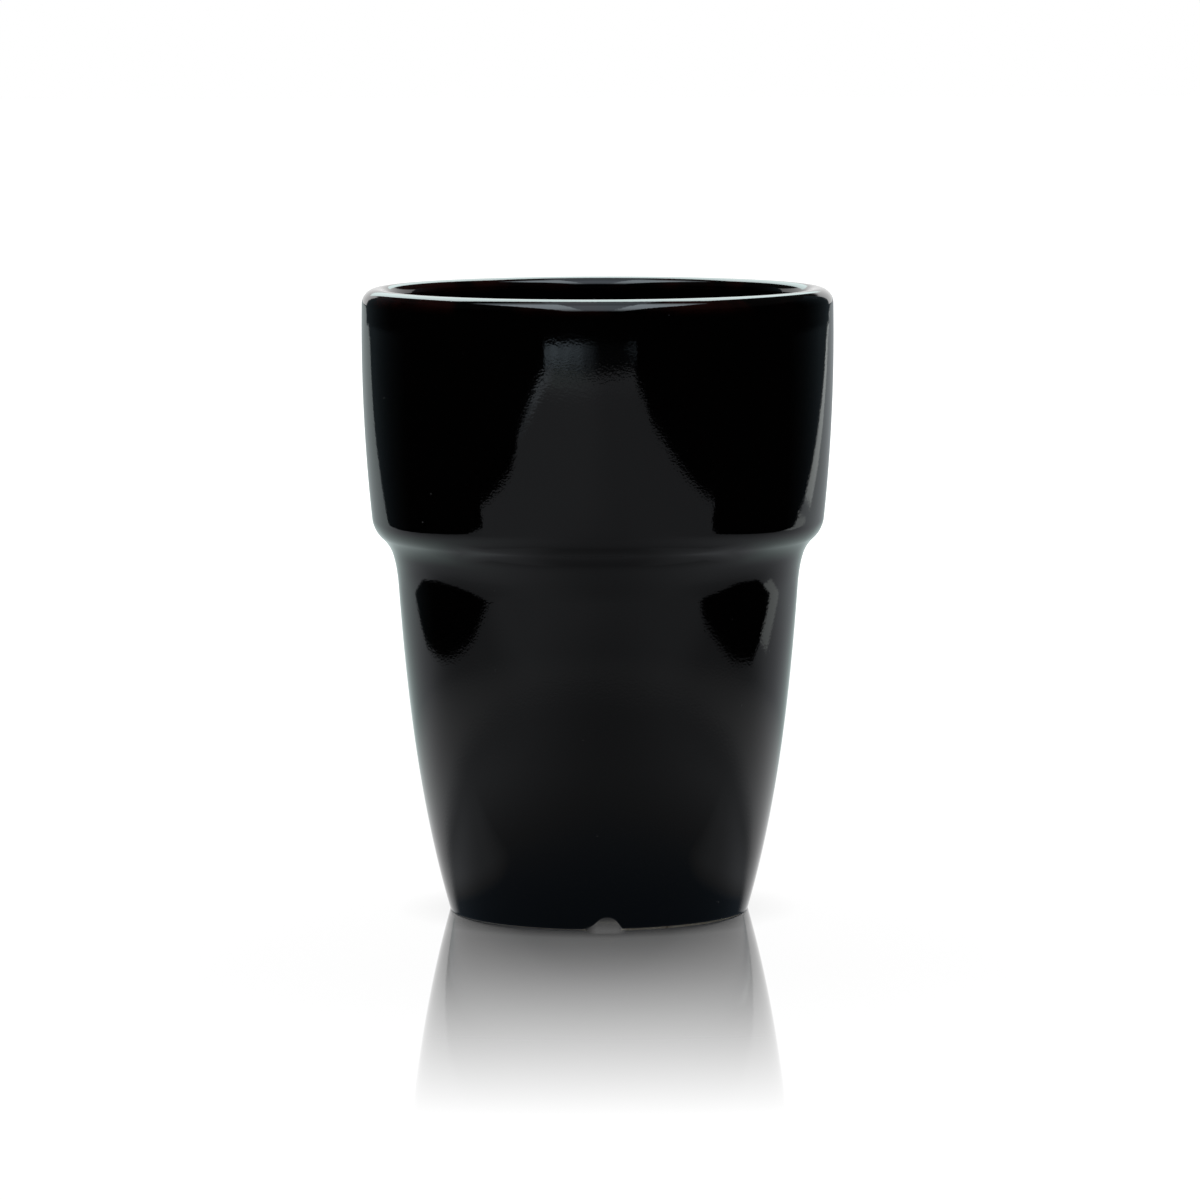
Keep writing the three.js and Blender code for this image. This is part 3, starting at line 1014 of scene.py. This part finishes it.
def table_seen_by_camera(tree, place, away):
    # painted shadow: the white glow is dimmed in a 9 mm ring round the foot
    painted_contact_shadow = ramp(tree, away, FOOT_RADIUS, FOOT_RADIUS + CONTACT_REACH, CONTACT_TONE, 1, soft=False)
    lightest = maths(tree, "MAXIMUM", painted_contact_shadow, painted_notch_light(tree, place, away))
    matt = tree.nodes.new("ShaderNodeBsdfDiffuse")
    fill(tree, matt.inputs["Color"], MATT_GREY)
    both = tree.nodes.new("ShaderNodeAddShader")
    fill(tree, both.inputs[0], emission(tree, product(tree, lightest, ramp(tree, away, *OPEN_WHITE))))
    fill(tree, both.inputs[1], matt.outputs[0])
    return both.outputs[0]


# %% [markdown]
# Both tables in one material
#
# Light Path tells a ray that comes from the camera from one that bounced off the glaze or the clay, so it
# picks the table. The dim table has a tint too: blue in the dark, neutral in the greys and a little green
# where it is bright, as the picture's mirrored greys are. The polish lies over both.

# %% Table finish
# The tints colour the painted light and shade of the glaze's table.
DARK_TINT = (0.7, 1.0, 1.35)
GREY_TINT = (0.94, 0.98, 1.04)
COOL_WHITE = (0.88, 1.03, 1.02)
DARK_TO_GREY = (0.03, 0.16)
GREY_TO_WHITE = (0.35, 0.6)


def mix_shaders(tree, share, first, second):
    node = tree.nodes.new("ShaderNodeMixShader")
    for socket, value in zip(node.inputs, (share, first, second)):
        fill(tree, socket, value)
    return node.outputs[0]


def use_surface(tree, surface):
    tree.nodes.remove(tree.nodes["Principled BSDF"])
    fill(tree, tree.nodes["Material Output"].inputs["Surface"], surface)


def table_polish_and_painted_light():
    material, tree = new_material("polished_table_painted_light")
    place = object_place(tree)
    length = tree.nodes.new("ShaderNodeVectorMath")
    length.operation = "LENGTH"
    fill(tree, length.inputs[0], place)
    away = length.outputs["Value"]
    flatness = tree.nodes.new("ShaderNodeLayerWeight").outputs["Facing"]

    # painted light and shade, glowing for mirrored and matt rays; the camera gets the white table
    dim = painted_table_light(tree, place, away, flatness)
    tint = blend_colours(tree, ramp(tree, dim, *GREY_TO_WHITE), GREY_TINT, COOL_WHITE)
    tint = blend_colours(tree, ramp(tree, dim, *DARK_TO_GREY), DARK_TINT, tint)
    rays = tree.nodes.new("ShaderNodeLightPath")
    bounced = maths(tree, "MAXIMUM", rays.outputs["Is Glossy Ray"], rays.outputs["Is Diffuse Ray"])
    white = table_seen_by_camera(tree, place, away)
    unpolished = mix_shaders(tree, bounced, white, emission(tree, dim, tint))

    polish = tree.nodes.new("ShaderNodeBsdfGlossy")
    fill(tree, polish.inputs["Roughness"], 0)
    fill(tree, polish.inputs["Color"], WHITE)
    use_surface(tree, mix_shaders(tree, mirror_share(tree, away, flatness), unpolished, polish.outputs[0]))
    return material


table.data.materials.append(table_polish_and_painted_light())
print("table of", TABLE_SPAN, "m, mirroring from", MIRROR_START / MM, "to", MIRROR_END / MM, "mm")

# %% [markdown]
# Cards for the glaze to mirror
#
# A glossy black thing is lit with cards: a photographer stands black and white boards round it, and their
# reflections draw its form. Each board here is a flat outline, made by pulling a point from corner to
# corner and filling the loop, and only mirrored rays see it. A card's brightness is one number, or it
# fades, as on a board that is lit from one side.


# %% Card helpers
def outline_piece(name, corners):
    points = [Vector(corner) for corner in corners]
    piece = start_line(name, points[0])
    pull_line(points)
    bpy.ops.mesh.select_all(action="SELECT")
    bpy.ops.mesh.edge_face_add()
    bpy.ops.object.mode_set(mode="OBJECT")
    bpy.ops.object.transform_apply(location=True, rotation=True, scale=True)
    return piece


def mirrored_only(piece, brightness, tint=WHITE):
    material, tree = new_material(piece.name)
    if callable(brightness):
        brightness = brightness(tree, object_place(tree))
    use_surface(tree, emission(tree, brightness, tint))
    piece.data.materials.append(material)
    for flag in ("visible_camera", "visible_diffuse", "visible_transmission", "visible_shadow"):
        setattr(piece, flag, False)
    print("card", piece.name)


def flat_card(name, corners, height, brightness, tint=WHITE):
    mirrored_only(outline_piece(name, [(x, y, height) for x, y in corners]), brightness, tint)


def rectangle(left, right, near, far):
    return [(left, near), (right, near), (right, far), (left, far)]


def front_to_back(*ranges):
    def fade(tree, place):
        along = split(tree, place)[1]
        return overlap(tree, *[(along, numbers) for numbers in ranges])

    return fade


def round_to_back(*numbers):
    def fade(tree, place):
        across, along, _ = split(tree, place)
        turn = maths(tree, "DIVIDE", along, maths(tree, "ABSOLUTE", across))
        return ramp(tree, turn, *numbers, soft=False)

    return fade


# %% [markdown]
# Black boards on the table
#
# Two black boards lie left and right of the mug and leave a white lane towards the camera, which a third
# one ends. The collar mirrors the lane as its grey stripe, and the boards' near ends show as the two dark
# drops under the shoulder. Towards the back the boards catch a little cool light. Each has a wavy inner
# edge, which the mug mirrors large, and a plain outer one far off.

# %% Black boards
CARD_LIFT = 0.5 * MM
FAR = 5.9
BACK = 5
LANE_END = 1.03
FRONT_BOARD_HALF = 0.5
BOARD_TINT = (0.75, 1.0, 1.15)
BOARD_GLOW = (0.3, 1.1, 0.002, 0.055)
left_inner = [
    (-0.305, 0.260), (-0.267, 0.180), (-0.230, 0.108), (-0.217, 0.030), (-0.217, -0.058),
    (-0.236, -0.110), (-0.241, -0.158), (-0.278, -0.172), (-0.270, -0.290), (-0.288, -0.356),
    (-0.317, -0.396), (-0.358, -0.520), (-0.402, -0.695), (-0.436, -0.820), (-0.452, -LANE_END),
]
left_outer = [
    (-0.450, -FAR), (-FAR, -FAR), (-FAR, BACK), (-1.600, BACK), (-1.000, 1.840),
    (-0.900, 1.330), (-0.500, 0.620), (-0.357, 0.340),
]
right_inner = [
    (0.350, 0.190), (0.292, 0.122), (0.214, 0.030), (0.202, -0.030), (0.211, -0.118),
    (0.224, -0.146), (0.245, -0.163), (0.285, -0.180), (0.265, -0.300), (0.257, -0.380),
    (0.262, -0.430), (0.248, -0.520), (0.285, -0.700), (0.292, -0.870), (0.322, -LANE_END),
]
right_behind = [(0.900, 1.830), (0.850, 1.340), (0.525, 0.565), (0.377, 0.255)]
right_outer = [(0.450, -FAR), (FAR, -FAR), (FAR, BACK), (1.500, BACK), *right_behind]
front_board = rectangle(-FRONT_BOARD_HALF, FRONT_BOARD_HALF, -LANE_END, -FAR)

board_fade = round_to_back(*BOARD_GLOW)
flat_card("black_board_left", [*left_inner, *left_outer], CARD_LIFT, board_fade, BOARD_TINT)
flat_card("black_board_right", [*right_inner, *right_outer], CARD_LIFT, board_fade, BOARD_TINT)
flat_card("black_board_front", front_board, CARD_LIFT * 2, 0)

# %% [markdown]
# Pale cards on the table
#
# Beyond the lane's end a pale panel lies on the table, and the collar's top mirrors it as the rippled
# patch. A thin strip lies along the lane's left edge, and two more along the right board's edge behind
# the mug. They draw the thin bright lines beside the dark shapes. All the cards on the table lie at three
# heights, half a millimetre apart, so that cards that overlap don't share a plane.

# %% Pale panel and strips
PANEL_NEAR = 1.11
PANEL_FAR = 2.3
PANEL_LEFT = -0.475  # metres across for each metre forwards
PANEL_RIGHT = 0.336
PANEL_TINT = (0.82, 1.0, 1.13)
PANEL_LEFT_LIGHT = (-0.42, 0.06, 0.85, 0.02)
PANEL_RIGHT_LIGHT = (0.36, 0.50, 0, 0.2)
RIPPLE_SIZE = 0.12
RIPPLE = (0.35, 0.65, 0.6, 1.25)
LEFT_STRIP_TINT = (0.9, 1.0, 1.08)
LEFT_STRIP_LIGHT = (-0.70, -0.44, 0.85, 0.45)
RIGHT_STRIP_TINT = (0.97, 1.03, 1.02)
RIGHT_STRIP_LIGHT = 0.95
RIGHT_EDGE_LIGHT = 0.72


def panel_fade(tree, place):
    across = split(tree, place)[0]
    left = ramp(tree, across, *PANEL_LEFT_LIGHT)
    right = ramp(tree, across, *PANEL_RIGHT_LIGHT)
    ripple = ramp(tree, noise(tree, place, RIPPLE_SIZE), *RIPPLE)
    return product(tree, maths(tree, "ADD", left, right), ripple)


panel_sides = rectangle(PANEL_LEFT, PANEL_RIGHT, PANEL_NEAR, PANEL_FAR)
panel = [(slope * run, -run) for slope, run in panel_sides]
left_strip_inside = [
    (-0.385, -LANE_END), (-0.374, -0.820), (-0.345, -0.596), (-0.325, -0.480), (-0.314, -0.425),
]
right_strip_inside = [(0.820, 1.830), (0.775, 1.370), (0.470, 0.640), (0.340, 0.310)]
right_edge_outside = [(0.240, 0.061), (0.224, 0.090), (0.270, 0.163), (0.290, 0.198), (0.325, 0.250)]
left_strip = [*left_inner[-len(left_strip_inside) :], *left_strip_inside]
right_strip = [*reversed(right_behind), *right_strip_inside]
right_edge = [*right_inner[:2], *right_edge_outside]

left_strip_fade = front_to_back(LEFT_STRIP_LIGHT)
flat_card("pale_panel", panel, CARD_LIFT * 3, panel_fade, PANEL_TINT)
flat_card("bright_strip_left", left_strip, CARD_LIFT * 3, left_strip_fade, LEFT_STRIP_TINT)
flat_card("bright_strip_right", right_strip, CARD_LIFT * 3, RIGHT_STRIP_LIGHT, RIGHT_STRIP_TINT)
flat_card("bright_edge_right", right_edge, CARD_LIFT * 3, RIGHT_EDGE_LIGHT, RIGHT_STRIP_TINT)

# %% [markdown]
# The dark surround
#
# A black band stands round the front and the sides at the height of the rim. The collar's upper part and
# the lip mirror it, so they stay black, and only the lights above it draw the lip's bright line. It is one
# arc pulled up into a wall, and it is open behind the mug, where the white wall shows.

# %% Dark surround
SURROUND_RADIUS = 150 * MM
SURROUND_LOW = 93 * MM
SURROUND_HIGH = 178 * MM
SURROUND_LEFT = -139  # degrees round the mug from the front
SURROUND_RIGHT = 140
SURROUND_STEP = 3
SURROUND_GLOW = (0.3, 1.6, 0.002, 0.09)

band = []
for degrees in range(SURROUND_LEFT, SURROUND_RIGHT + 1, SURROUND_STEP):
    angle = math.radians(degrees)
    out = Vector((math.sin(angle), -math.cos(angle), 0))
    band.append(out * SURROUND_RADIUS + Vector((0, 0, SURROUND_LOW)))
surround = start_line("dark_surround", band[0])
pull_line(band)
bpy.ops.mesh.select_all(action="SELECT")
bpy.ops.mesh.extrude_edges_move(TRANSFORM_OT_translate={"value": (0, 0, SURROUND_HIGH - SURROUND_LOW)})
bpy.ops.object.mode_set(mode="OBJECT")
bpy.ops.object.transform_apply(location=True, rotation=True, scale=True)
mirrored_only(surround, round_to_back(*SURROUND_GLOW), BOARD_TINT)

# %% [markdown]
# The wall behind
#
# Behind the mug stands a white wall that is brighter the higher it goes, as a wall lit from above is. The
# lip's thin round squeezes it, and the panels over the table, into one bright line.

# %% White wall
WALL_PLACE = 1.5
WALL_LOW = 0.42
WALL_HIGH = 2.6
WALL_LEFT = -0.356
WALL_LEFT_FLARE = -0.366
WALL_RIGHT = 0.198
WALL_RIGHT_FLARE = 0.258
WALL_LIGHT = (0.25 * WALL_PLACE, 1.2 * WALL_PLACE, 1.6, 5.5)


def wall_row(height):
    left = WALL_LEFT + WALL_LEFT_FLARE * height
    right = WALL_RIGHT + WALL_RIGHT_FLARE * height
    return [(left, WALL_PLACE, height), (right, WALL_PLACE, height)]


def wall_fade(tree, place):
    return ramp(tree, split(tree, place)[2], *WALL_LIGHT, soft=False)


wall = outline_piece("white_wall", [*wall_row(WALL_LOW), *reversed(wall_row(WALL_HIGH))])
mirrored_only(wall, wall_fade, COOL_WHITE)

# %% [markdown]
# The panels overhead
#
# Over the table hang three soft panels side by side, and the outer two are brighter than the middle one.
# All three fade towards the front, and again behind the mug, as cloth does that is lit from its middle.

# %% Soft panels
CEILING = 1.1
CEILING_FRONT = -1.5
CEILING_BACK = 0.4
MIDDLE_LEFT = -0.18
MIDDLE_RIGHT = 0.19
MIDDLE_TINT = (0.9, 1.03, 1.16)
SIDE_TINT = (0.87, 1.0, 1.08)
middle_fade = front_to_back((-1.60, -0.85, 0.3, 1.5), (-0.35, -0.05, 1, 0.6))
side_fade = front_to_back((-1.60, -0.50, 0.4, 4.1), (-0.15, 0.10, 1, 0.3))


def side_panel(edge, inner):
    back = edge[-1][1]
    return [*edge, (inner, back), (inner, CEILING_FRONT)]


left_side = [
    (-0.45, CEILING_FRONT), (-0.42, -1.05), (-0.49, -0.60), (-0.54, -0.30), (-0.60, -0.02),
    (-0.64, 0.20),
]
right_side = [
    (0.36, CEILING_FRONT), (0.38, -1.08), (0.43, -0.62), (0.51, -0.28), (0.55, 0.12),
]
middle = rectangle(MIDDLE_LEFT, MIDDLE_RIGHT, CEILING_FRONT, CEILING_BACK)
flat_card("soft_panel_above", middle, CEILING, middle_fade, MIDDLE_TINT)
flat_card("soft_panel_left", side_panel(left_side, MIDDLE_LEFT), CEILING, side_fade, SIDE_TINT)
flat_card("soft_panel_right", side_panel(right_side, MIDDLE_RIGHT), CEILING, side_fade, SIDE_TINT)

# %% [markdown]
# The studio's air
#
# The camera sees pure white behind the mug, and so do mirrored rays near the horizon. Above that the
# studio is dark for them, apart from the lights already hung. Matt things get an even half light.

# %% World
HORIZON = (0.28, 0.33)
STUDIO_DARK = 0.02
EVEN_LIGHT = 0.5

world = bpy.data.worlds.new("studio")
bpy.context.scene.world = world
world.use_nodes = True
tree = world.node_tree
background = tree.nodes["Background"]
rays = tree.nodes.new("ShaderNodeLightPath")
climb = split(tree, tree.nodes.new("ShaderNodeTexCoord").outputs["Generated"])[2]
mirrored = product(tree, ramp(tree, climb, *HORIZON, 1, STUDIO_DARK), rays.outputs["Is Glossy Ray"])
seen = maths(tree, "MAXIMUM", rays.outputs["Is Camera Ray"], rays.outputs["Is Transmission Ray"])
even = product(tree, rays.outputs["Is Diffuse Ray"], EVEN_LIGHT)
fill(tree, background.inputs["Color"], WHITE)
fill(tree, background.inputs["Strength"], maths(tree, "ADD", maths(tree, "ADD", mirrored, seen), even))

# %% [markdown]
# The lamp
#
# One large soft lamp hangs behind and above the mug. It lights the clay and the brown of the lip. Its
# reflection is left to the white wall and the panels.

# %% Lamp
LAMP_PLACE = Vector((0, 0.9, 1.3))
LAMP_AIM = Vector((0, 0, 0.05))
LAMP_WIDTH = 1.6
LAMP_LENGTH = 1.2
LAMP_POWER = 24

bpy.ops.object.select_all(action="DESELECT")
bpy.ops.object.light_add(type="AREA", location=LAMP_PLACE)
lamp = bpy.context.object
lamp.name = "softbox_behind"
lamp.data.shape = "RECTANGLE"
lamp.data.size = LAMP_WIDTH
lamp.data.size_y = LAMP_LENGTH
lamp.data.energy = LAMP_POWER
lamp.rotation_euler = (LAMP_AIM - LAMP_PLACE).to_track_quat("-Z", "Y").to_euler()
lamp.visible_camera = False
lamp.visible_glossy = False
print("lamp", round((LAMP_PLACE - LAMP_AIM).length, 2), "m from the mug")
